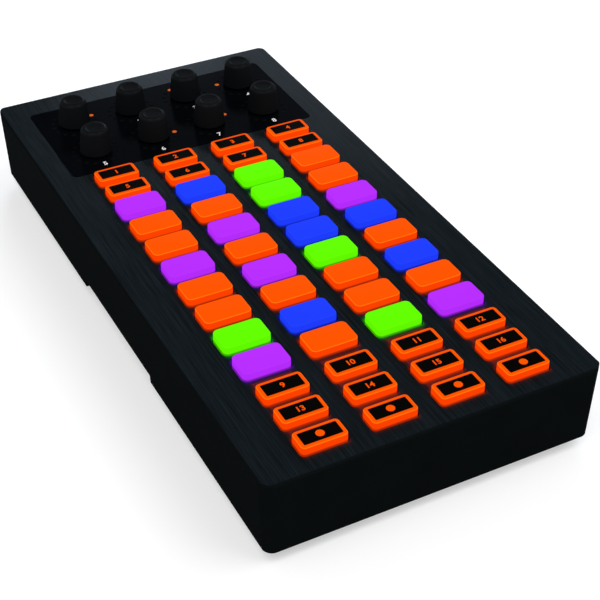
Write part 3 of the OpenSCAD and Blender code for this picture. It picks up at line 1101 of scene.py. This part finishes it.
@dataclass
class KeyRow:
    """Four small keys with black labels whose marks let the light through."""

    node: str
    mark: LabelMark
    first: int
    column_x: list[float]
    # How far behind the row's middle the light painted between the keys reaches.
    lit_behind: float = 0.0
    key: LitKey = LitKey(corner_r=1.5 * MM)
    # The light that the keys paint on the plate round and between them.
    spill: Spill = Spill(foot=0.24, between=0.12, fade=0.46 * MM)
    label_w: float = 13.3 * MM
    label_l: float = 5.5 * MM
    label_r: float = 0.35 * MM
    label_steps: int = 3
    film_t: float = 0.05 * MM
    digit_h: float = 2.4 * MM
    digit_weight: float = 0.025
    dot_r: float = 1.45 * MM
    dot_steps: int = 32

    def build(self) -> None:
        """Builds the keys, the labels and the marks, which all ride on the row's body."""
        spot, lit = Spot.of(self.node), SILICONE[Glow.ORANGE]
        self._keys(spot).piece(f"{self.node}_caps", self.node, lit, "key_orange", (self.node,))
        labels, marks = Form(), Form()
        for number, x in enumerate(self.column_x, self.first):
            place = Vector((x, spot.centre.y, spot.high.z))
            label = labels.rounded_face(place, self.label_w, self.label_l, self.label_r, self.label_steps)
            labels.pull(label, self.film_t)
            self._mark(marks, number, place + Vector((0, 0, self.film_t)))
        labels.piece(f"{self.node}_labels", self.node, LABEL_FILM, "panel_gloss")
        marks.piece(f"{self.node}_marks", self.node, lit, "key_orange")

    def block(self, *others: "KeyRow") -> KeyBlock:
        """Gathers this row and the rows in front of it.

        Args:
            others: The rows in front, in order.

        Returns:
            Their grid and the light that they spill.
        """
        nodes = [self.node, *(row.node for row in others)]
        spill = replace(self.spill, behind=self.lit_behind)
        return block_of(nodes, self.column_x, self.key, (Glow.ORANGE,), spill)

    def _keys(self, spot: Spot) -> Form:
        """Shapes the row's keys.

        Args:
            spot: The box of the row.

        Returns:
            The mesh of the four keys.
        """
        form = Form()
        half_w = self.column_x[0] - spot.low.x
        for x in self.column_x:
            low = Vector((x - half_w, spot.low.y, spot.low.z))
            high = Vector((x + half_w, spot.high.y, spot.high.z))
            self.key.add(form, low, high)
        return form

    def _mark(self, form: Form, number: int, place: Vector) -> None:
        """Adds the mark of one label.

        Args:
            form: The mesh of the marks.
            number: The key's number.
            place: The middle of the label's top.
        """
        if self.mark is LabelMark.NUMBER:
            form.digits(str(number), place, self.digit_h, self.digit_weight, self.film_t)
        else:
            form.post(place, self.dot_r, place.z, place.z + self.film_t, self.dot_steps)


@dataclass
class PadField:
    """Thirty-two lit pads, each on its own body."""

    count: int = 32
    across: int = 4
    purple: tuple[int, ...] = (1, 10, 12, 13, 18, 29, 32)
    blue: tuple[int, ...] = (2, 11, 15, 16, 24, 26)
    green: tuple[int, ...] = (3, 7, 19, 25, 31)
    key: LitKey = LitKey(corner_r=2.0 * MM)
    # The light that the pads paint on the plate round and between them.
    spill: Spill = Spill(foot=0.46, between=0.08, fade=0.5 * MM)

    SLOTS: ClassVar[dict[Glow, str]] = {Glow.ORANGE: "key_orange", Glow.PURPLE: "pad_purple",
                                        Glow.BLUE: "pad_blue", Glow.GREEN: "pad_green"}

    def columns(self) -> list[float]:
        """The middle of each column, from the left."""
        return [Spot.of(f"pad_{number}").centre.x for number in range(1, self.across + 1)]

    def glow(self, number: int) -> Glow:
        """Looks up the colour that a pad is lit in.

        Args:
            number: The pad's number, counted from one.

        Returns:
            The colour.
        """
        if number in self.purple:
            return Glow.PURPLE
        if number in self.blue:
            return Glow.BLUE
        return Glow.GREEN if number in self.green else Glow.ORANGE

    def block(self) -> KeyBlock:
        """Gathers the pads into one block.

        Returns:
            Their grid and the light that they spill.
        """
        nodes = [f"pad_{number}" for number in range(1, self.count + 1, self.across)]
        glows = tuple(self.glow(number) for number in range(1, self.count + 1))
        return block_of(nodes, self.columns(), self.key, glows, self.spill)

    def build(self) -> None:
        """Builds the pads."""
        for number in range(1, self.count + 1):
            node = f"pad_{number}"
            spot, glow, form = Spot.of(node), self.glow(number), Form()
            self.key.add(form, spot.low, spot.high)
            form.piece(f"{node}_cap", node, SILICONE[glow], self.SLOTS[glow], (node,))


@dataclass
class KnobBank:
    """Eight soft knobs on steel shafts."""

    count: int = 8
    knob_h: float = 10.2 * MM
    base_r: float = 6.4 * MM
    top_r: float = 5.4 * MM
    edge_r: float = 1.6 * MM
    foot_r: float = 0.35 * MM
    dish_r: float = 3.6 * MM
    dish_depth: float = 0.45 * MM
    lip_r: float = 0.3 * MM
    recess_r: float = 4.3 * MM
    recess_h: float = 2.1 * MM
    shaft_r: float = 3.0 * MM
    bore_fit: float = 0.05 * MM
    roof: float = 2.2 * MM
    flat: float = 1.5 * MM
    round_h: float = 8.5 * MM
    lap: float = 0.2 * MM
    side_lean: float = 4.0
    lip_turn: float = 165.0
    fillet_turn: float = -30.0
    fillet_in: float = 3.0
    rim_steps: int = 8
    arc_steps: int = 4
    steps: int = 72

    def build(self) -> None:
        """Builds every knob and its shaft."""
        for number in range(1, self.count + 1):
            node = f"knob_{number}"
            spot = Spot.of(node)
            cap = Form()
            cap.lathe(self._cap_profile(spot.high.z), spot.centre, self.steps)
            cap.piece(f"{node}_cap", node, KNOB_RUBBER, "knob_plastic", (node,))
            self._shaft(spot).piece(f"{node}_shaft", node, SHAFT_STEEL, "encoder_steel")

    def _cap_profile(self, top: float) -> Profile:
        """Half section of a knob: bore, recess over the bushing, tapered side, round rim and dished top.

        Args:
            top: The height of the knob's rim.

        Returns:
            The points from the bore's end on the axis to the middle of the dish.
        """
        foot = top - self.knob_h
        recess = foot + self.recess_h
        bore = self.shaft_r + self.bore_fit
        bore_end = top - self.roof + self.bore_fit
        floor = top - self.dish_depth
        inside = [(0, bore_end), (bore, bore_end), (bore, recess), (self.recess_r, recess),
                  (self.recess_r, foot)]
        lower = arc((self.base_r - self.foot_r, foot + self.foot_r), self.foot_r, -90, 0, self.arc_steps)
        upper = arc((self.top_r - self.edge_r, top - self.edge_r), self.edge_r, self.side_lean, 90,
                    self.rim_steps)
        lip = arc((self.dish_r, top - self.lip_r), self.lip_r, 90, self.lip_turn, self.arc_steps)
        fillet = arc((self.dish_r - self.fillet_in * self.lip_r, floor + self.lip_r), self.lip_r,
                     self.fillet_turn, -90, self.arc_steps)
        return [*inside, *lower, *upper, *lip, *fillet, (0, floor)]

    def _shaft(self, spot: Spot) -> Form:
        """Shapes a shaft with a flat along the stretch that the knob grips.

        Args:
            spot: The box of the knob and its shaft.

        Returns:
            The shaft's mesh.
        """
        step = spot.low.z + self.round_h
        form = Form()
        form.post(spot.centre, self.shaft_r, step - self.lap, spot.high.z - self.roof, self.steps // 2)
        everything = [*form.bm.verts, *form.bm.edges, *form.bm.faces]
        bmesh.ops.bisect_plane(form.bm, geom=everything, plane_co=spot.centre + Vector((0, self.flat, 0)),
                               plane_no=(0, 1, 0), clear_outer=True)
        bmesh.ops.holes_fill(form.bm, edges=[edge for edge in form.bm.edges if edge.is_boundary])
        form.post(spot.centre, self.shaft_r, spot.low.z, step, self.steps // 2)
        return form


@dataclass
class LightDots:
    """The lenses of the light dots round the knobs, one of them lit in each ring."""

    ring_r: float = 9.0 * MM
    dot_r: float = 0.95 * MM
    crown: float = 0.2 * MM
    shoulder: Pair = (0.75, 0.7)
    count: int = 15
    step: float = 22.5
    middle: float = 90.0
    lit_turns: tuple[float, ...] = (22.5, 67.5, 112.5, 157.5, 67.5, 0.0, 22.5, 45.0)
    faces_round: int = 12

    def build(self, panel_top: float) -> None:
        """Builds the dark lenses as one piece and the lit ones as another.

        Args:
            panel_top: The height of the panel's top.
        """
        dark, lit = Form(), Form()
        for number, lit_turn in enumerate(self.lit_turns, 1):
            axis = Spot.of(f"knob_{number}").centre
            for i in range(self.count):
                turn = self.middle + (i - (self.count - 1) / 2) * self.step
                out = Vector((math.cos(math.radians(turn)), math.sin(math.radians(turn)), 0))
                form = lit if math.isclose(turn, lit_turn, abs_tol=1.0) else dark
                form.lathe(self._profile(panel_top), axis + out * self.ring_r, self.faces_round)
        dark.piece("dots_dark", "chassis", DARK_LENS, "light_guide")
        lit.piece("dots_lit", "chassis", LIT_LENS, "light_guide")

    def _profile(self, base: float) -> Profile:
        """Half section of a lens, a low dome on a flat foot."""
        shoulder = (self.dot_r * self.shoulder[0], base + self.crown * self.shoulder[1])
        return [(0, base), (self.dot_r, base), shoulder, (0, base + self.crown)]


@dataclass
class PanelNumbers:
    """The printed number in front of each knob."""

    count: int = 8
    forward: float = 10.0 * MM
    digit_h: float = 2.5 * MM
    weight: float = 0.022
    ink_t: float = 0.02 * MM

    def build(self, panel_top: float) -> None:
        """Builds the numbers as one piece.

        Args:
            panel_top: The height of the panel's top.
        """
        form = Form()
        for number in range(1, self.count + 1):
            axis = Spot.of(f"knob_{number}").centre
            place = Vector((axis.x, axis.y - self.forward, panel_top))
            form.digits(str(number), place, self.digit_h, self.weight, self.ink_t)
        form.piece("panel_numbers", "chassis", PANEL_INK, "light_guide")


@dataclass
class Underside:
    """The rubber feet and the cross-head screws."""

    foot_w: float = 19.0 * MM
    foot_l: float = 12.0 * MM
    foot_r: float = 1.5 * MM
    foot_edge_r: float = 0.7 * MM
    head_r: float = 2.4 * MM
    head_h: float = 1.2 * MM
    head_round: float = 0.35 * MM
    shank_r: float = 1.2 * MM
    tip: float = 0.5 * MM
    socket_r: float = 1.6 * MM
    arm: float = 1.35 * MM
    arm_half_w: float = 0.28 * MM
    cross_depth: float = 0.7 * MM
    cross_taper: float = 0.7
    round_steps: int = 3
    steps: int = 24

    def build(self) -> None:
        """Builds the feet and the screws."""
        self._feet().piece("feet", "chassis", FOOT_RUBBER, "foot_rubber", ("rubber_feet",))
        self._screws().piece("screws", "chassis", SCREW_STEEL, "screw_steel", ("fixing_screws",))

    def _feet(self) -> Form:
        """Shapes four feet with a soft lower edge.

        Returns:
            The mesh of the feet.
        """
        spot, form = Spot.of("rubber_feet"), Form()
        for x in (spot.low.x + self.foot_w / 2, spot.high.x - self.foot_w / 2):
            for y in (spot.low.y + self.foot_l / 2, spot.high.y - self.foot_l / 2):
                sole = form.rounded_face(Vector((x, y, spot.low.z)), self.foot_w, self.foot_l, self.foot_r)
                form.pull(sole, spot.size.z)
                form.round_edges(list(sole.edges), self.foot_edge_r, self.round_steps)
        return form

    def _screws(self) -> Form:
        """Shapes every screw where its solid stands in the CAD node.

        Returns:
            The mesh of the screws.
        """
        form = Form()
        for low, high in solids_of("fixing_screws"):
            self._screw(form, (low + high) / 2, low.z, high.z)
        return form

    def _screw(self, form: Form, axis: Vector, low: float, high: float) -> None:
        """Adds one screw, head down.

        Args:
            form: The mesh of the screws.
            axis: A point on the screw's axis.
            low: The height of the head's face.
            high: The height of the tip.
        """
        known = set(form.bm.edges)
        neck = low + self.head_h
        rim = arc((self.head_r - self.head_round, low + self.head_round), self.head_round, -90, 0,
                  self.round_steps)
        shank = [(self.head_r, neck), (self.shank_r, neck), (self.shank_r, high - self.tip),
                 (self.shank_r - self.tip, high), (0, high)]
        form.lathe([(self.socket_r, low), *rim, *shank], axis, self.steps)
        mouth = [edge for edge in form.bm.edges if edge not in known and edge.is_boundary]
        cross = self._cross(form, axis, low)
        bmesh.ops.bridge_loops(form.bm, edges=[*mouth, *cross])
        walls = bmesh.ops.extrude_edge_only(form.bm, edges=cross)["geom"]
        verts = [part for part in walls if isinstance(part, BMVert)]
        floor = [part for part in walls if isinstance(part, BMEdge)]
        bmesh.ops.translate(form.bm, verts=verts, vec=(0, 0, self.cross_depth))
        bmesh.ops.scale(form.bm, vec=(self.cross_taper, self.cross_taper, 1), verts=verts,
                        space=Matrix.Translation(-axis))
        bmesh.ops.contextual_create(form.bm, geom=floor)

    def _cross(self, form: Form, axis: Vector, height: float) -> list[BMEdge]:
        """Lays the outline of a cross recess.

        Args:
            form: The mesh of the screws.
            axis: A point on the screw's axis.
            height: The height of the head's face.

        Returns:
            The edges of the outline.
        """
        arm = [Vector((self.arm, -self.arm_half_w, 0)), Vector((self.arm, self.arm_half_w, 0)),
               Vector((self.arm_half_w, self.arm_half_w, 0))]
        centre = Vector((axis.x, axis.y, height))
        verts = [form.bm.verts.new(centre + Matrix.Rotation(math.radians(90 * quarter), 3, "Z") @ point)
                 for quarter in range(4) for point in arm]
        return [form.bm.edges.new(pair) for pair in zip(verts, [*verts[1:], verts[0]])]


def solids_of(node: str) -> list[tuple[Vector, Vector]]:
    """Boxes of the separate solids in a CAD node.

    Args:
        node: The node's name.

    Returns:
        The lowest and highest corner of each solid.
    """
    copy = bmesh.new()
    copy.from_mesh(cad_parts[node].data)
    bmesh.ops.remove_doubles(copy, verts=copy.verts[:], dist=Form.MERGE)
    waiting, boxes = set(copy.verts), []
    while waiting:
        solid, reached = set(), {next(iter(waiting))}
        while reached:
            solid |= reached
            reached = {edge.other_vert(vert) for vert in reached for edge in vert.link_edges} - solid
        waiting -= solid
        boxes.append(box_of(solid))
    copy.free()
    return sorted(boxes, key=lambda box: tuple(box[0]))


@dataclass
class DataSocket:
    """The contacts on the tongue of the data socket."""

    contact_w: float = 1.1 * MM
    contact_t: float = 0.16 * MM
    contact_x: float = 1.25 * MM
    set_back: float = 0.7 * MM
    edge_r: float = 0.05 * MM

    def build(self) -> None:
        """Builds two contacts above the tongue and two below it."""
        tongue, form = Spot.of("socket_tongue"), Form()
        length = tongue.size.y - self.set_back
        for side in (-1, 1):
            for height in (tongue.low.z - self.contact_t / 2, tongue.high.z + self.contact_t / 2):
                place = Vector((tongue.centre.x + side * self.contact_x, tongue.low.y + length / 2, height))
                form.block(place, (self.contact_w, length, self.contact_t), self.edge_r)
        form.piece("socket_contacts", "chassis", CONTACT_GOLD, "socket_metal")


@dataclass
class Chassis:
    """The CAD nodes whose shape is shown as it is."""

    blocks: tuple[KeyBlock, ...]
    plate_dark: Colour = paint(10, 15, 18)
    plate_light: Colour = paint(24, 31, 35)
    plate_rim: Colour = paint(14, 17, 18)
    finishes: dict[str, Finish] = field(default_factory=lambda: {
        "case_shell": CASE_PLASTIC, "encoder_panel": PANEL_SHEET, "key_carrier": CARRIER_PLASTIC,
        "base_plate": BASE_PLASTIC, "main_board": BOARD_MASK, "board_chips": CHIP_PLASTIC,
        "board_leds": LIGHT_CHIP, "key_mat": MAT_RUBBER, "encoder_bodies": ENCODER_STEEL,
        "light_rings": GUIDE_RESIN, "socket_shell": SOCKET_NICKEL, "socket_tongue": SOCKET_INSERT})

    def dress(self) -> None:
        """Gives every shown node its finish."""
        plate = BrushedMetal("faceplate_metal", self.plate_dark, self.plate_light, self.plate_rim,
                             blocks=self.blocks)
        for node, finish in {"faceplate": plate, **self.finishes}.items():
            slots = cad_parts[node].data.materials
            slots.clear()
            slots.append(material_of(finish))
            LOG.info("%s dressed in %s", node, finish.name)


def outward(azimuth: float, elevation: float) -> Vector:
    """The direction in which a camera or a lamp stands.

    Args:
        azimuth: Its angle from the front, to the right, in degrees.
        elevation: Its angle above level, in degrees.

    Returns:
        A vector of length one.
    """
    turn, rise = math.radians(azimuth), math.radians(elevation)
    return Vector((math.sin(turn) * math.cos(rise), -math.cos(turn) * math.cos(rise), math.sin(rise)))


def stand(thing: bpy.types.Object, place: Vector, out: Vector) -> None:
    """Puts a camera or a lamp in the scene.

    Args:
        thing: The camera or the lamp.
        place: Where it stands.
        out: The direction that its back faces.
    """
    thing.location = place
    thing.rotation_mode = "QUATERNION"
    thing.rotation_quaternion = (-out).to_track_quat("-Z", "Y")
    bpy.context.scene.collection.objects.link(thing)


@dataclass(frozen=True)
class PhotoCamera:
    """A camera where the photographer stood."""

    place: Triple = (-187.7 * MM, -394.0 * MM, 326.9 * MM)
    azimuth: float = -27.27
    elevation: float = 37.02
    lens: float = 85.89
    sensor: float = 36.0
    clip: Pair = (1 * MM, 50.0)

    def set_up(self) -> None:
        """Makes the camera and hands it to the scene."""
        data = bpy.data.cameras.new("photo_camera")
        data.lens, data.sensor_width = self.lens, self.sensor
        data.clip_start, data.clip_end = self.clip
        camera = bpy.data.objects.new("photo_camera", data)
        stand(camera, Vector(self.place), outward(self.azimuth, self.elevation))
        bpy.context.scene.camera = camera


@dataclass(frozen=True)
class Softbox:
    """A square lamp that looks at the object."""

    name: str
    azimuth: float
    elevation: float
    distance: float
    side: float
    power: float
    colour: Colour = WHITE

    def set_up(self) -> None:
        """Makes the lamp and turns it to the object."""
        data = bpy.data.lights.new(self.name, "AREA")
        data.shape, data.size, data.energy, data.color = "SQUARE", self.side, self.power, self.colour
        lamp = bpy.data.objects.new(self.name, data)
        lamp.visible_camera = False
        out = outward(self.azimuth, self.elevation)
        stand(lamp, out * self.distance, out)


@dataclass
class Studio:
    """A white room: a pale floor, an even sky and soft lamps, two of them behind the object."""

    floor_half: float = 6.0
    floor_colour: Colour = (0.62, 0.62, 0.62)
    near_lift: float = 0.45
    far_lift: float = 0.8
    reach: Pair = (0.3, 1.0)
    floor_light: float = 0.6
    sky_light: float = 0.5
    lamps: tuple[Softbox, ...] = (
        Softbox("key_lamp", azimuth=-60, elevation=62, distance=1.4, side=0.9, power=6),
        Softbox("fill_lamp", azimuth=50, elevation=55, distance=1.6, side=1.0, power=8.5),
        Softbox("back_lamp", azimuth=153, elevation=21, distance=1.5, side=0.58, power=9, colour=COOL_LIGHT),
        Softbox("strip_lamp", azimuth=161.3, elevation=23.8, distance=1.5, side=0.22, power=1.5,
                colour=COOL_LIGHT))

    def set_up(self) -> None:
        """Builds the floor, the lamps and the sky."""
        bpy.context.scene.view_settings.view_transform = "Standard"
        self._floor()
        self._sky()
        for lamp in self.lamps:
            lamp.set_up()

    @staticmethod
    def _strength(shader: Shader, light: float) -> Wire:
        """Shows the room at full strength and lights the object with less.

        Args:
            shader: The shader of the floor or of the sky.
            light: The strength for rays that only light the object.

        Returns:
            One for rays that show the room, straight, mirrored or through glass, and that light for others.
        """
        paths = ("Is Camera Ray", "Is Glossy Ray", "Is Transmission Ray")
        seen, mirrored, through = (shader.node("ShaderNodeLightPath", {}, {}, path) for path in paths)
        return light + (seen + mirrored + through).within(0, 1) * (1 - light)

    def _floor(self) -> None:
        """Lays the floor, which is white far from the object and can be looked through from below."""
        bm = bmesh.new()
        bmesh.ops.create_grid(bm, x_segments=1, y_segments=1, size=self.floor_half)
        mesh = bpy.data.meshes.new("floor")
        bm.to_mesh(mesh)
        bm.free()
        floor = bpy.data.objects.new("floor", mesh)
        bpy.context.scene.collection.objects.link(floor)
        material = bpy.data.materials.new("pale_floor")
        material.use_nodes = True
        shader = Shader(material.node_tree)
        paper = shader.node("ShaderNodeBsdfDiffuse", {}, {"Color": self.floor_colour})
        here = shader.node("ShaderNodeTexCoord", {}, {}, "Object")
        away = shader.node("ShaderNodeVectorMath", {"operation": "LENGTH"}, {0: here}, "Value")
        lift = shader.tinted(shader.ramp(away, *self.reach), WHITE, self.near_lift, self.far_lift)
        strength = self._strength(shader, self.floor_light)
        glow = shader.node("ShaderNodeEmission", {}, {"Color": lift, "Strength": strength})
        lit = shader.node("ShaderNodeAddShader", {}, {0: paper, 1: glow})
        clear = shader.node("ShaderNodeBsdfTransparent", {}, {})
        under = shader.node("ShaderNodeNewGeometry", {}, {}, "Backfacing")
        shader.end(shader.node("ShaderNodeMixShader", {}, {0: under, 1: lit, 2: clear}))
        mesh.materials.append(material)

    def _sky(self) -> None:
        """Lights the room evenly, and shows it white."""
        world = bpy.data.worlds.new("studio")
        bpy.context.scene.world = world
        world.use_nodes = True
        shader = Shader(world.node_tree)
        strength = self._strength(shader, self.sky_light)
        light = shader.node("ShaderNodeBackground", {}, {"Color": WHITE, "Strength": strength})
        shader.node("ShaderNodeOutputWorld", {}, {"Surface": light})


def main() -> None:
    """Builds the studio and every sub-assembly in order."""
    logging.basicConfig(level=logging.INFO, format="%(name)s: %(message)s")
    PhotoCamera().set_up()
    Studio().set_up()
    pads = PadField()
    columns = pads.columns()
    select = [KeyRow("select_keys_back", LabelMark.NUMBER, first=1, column_x=columns),
              KeyRow("select_keys_front", LabelMark.NUMBER, first=5, column_x=columns)]
    # The light painted between the channel keys also reaches 7.4 mm behind the middle of their back row.
    channel = [KeyRow("channel_keys_back", LabelMark.NUMBER, first=9, column_x=columns, lit_behind=7.4 * MM),
               KeyRow("channel_keys_middle", LabelMark.NUMBER, first=13, column_x=columns),
               KeyRow("channel_keys_front", LabelMark.DOT, first=17, column_x=columns)]
    Chassis((select[0].block(*select[1:]), channel[0].block(*channel[1:]), pads.block())).dress()
    for row in (*select, *channel):
        row.build()
    pads.build()
    KnobBank().build()
    panel_top = Spot.of("encoder_panel").high.z
    LightDots().build(panel_top)
    PanelNumbers().build(panel_top)
    Underside().build()
    DataSocket().build()


if __name__ == "__main__":
    main()
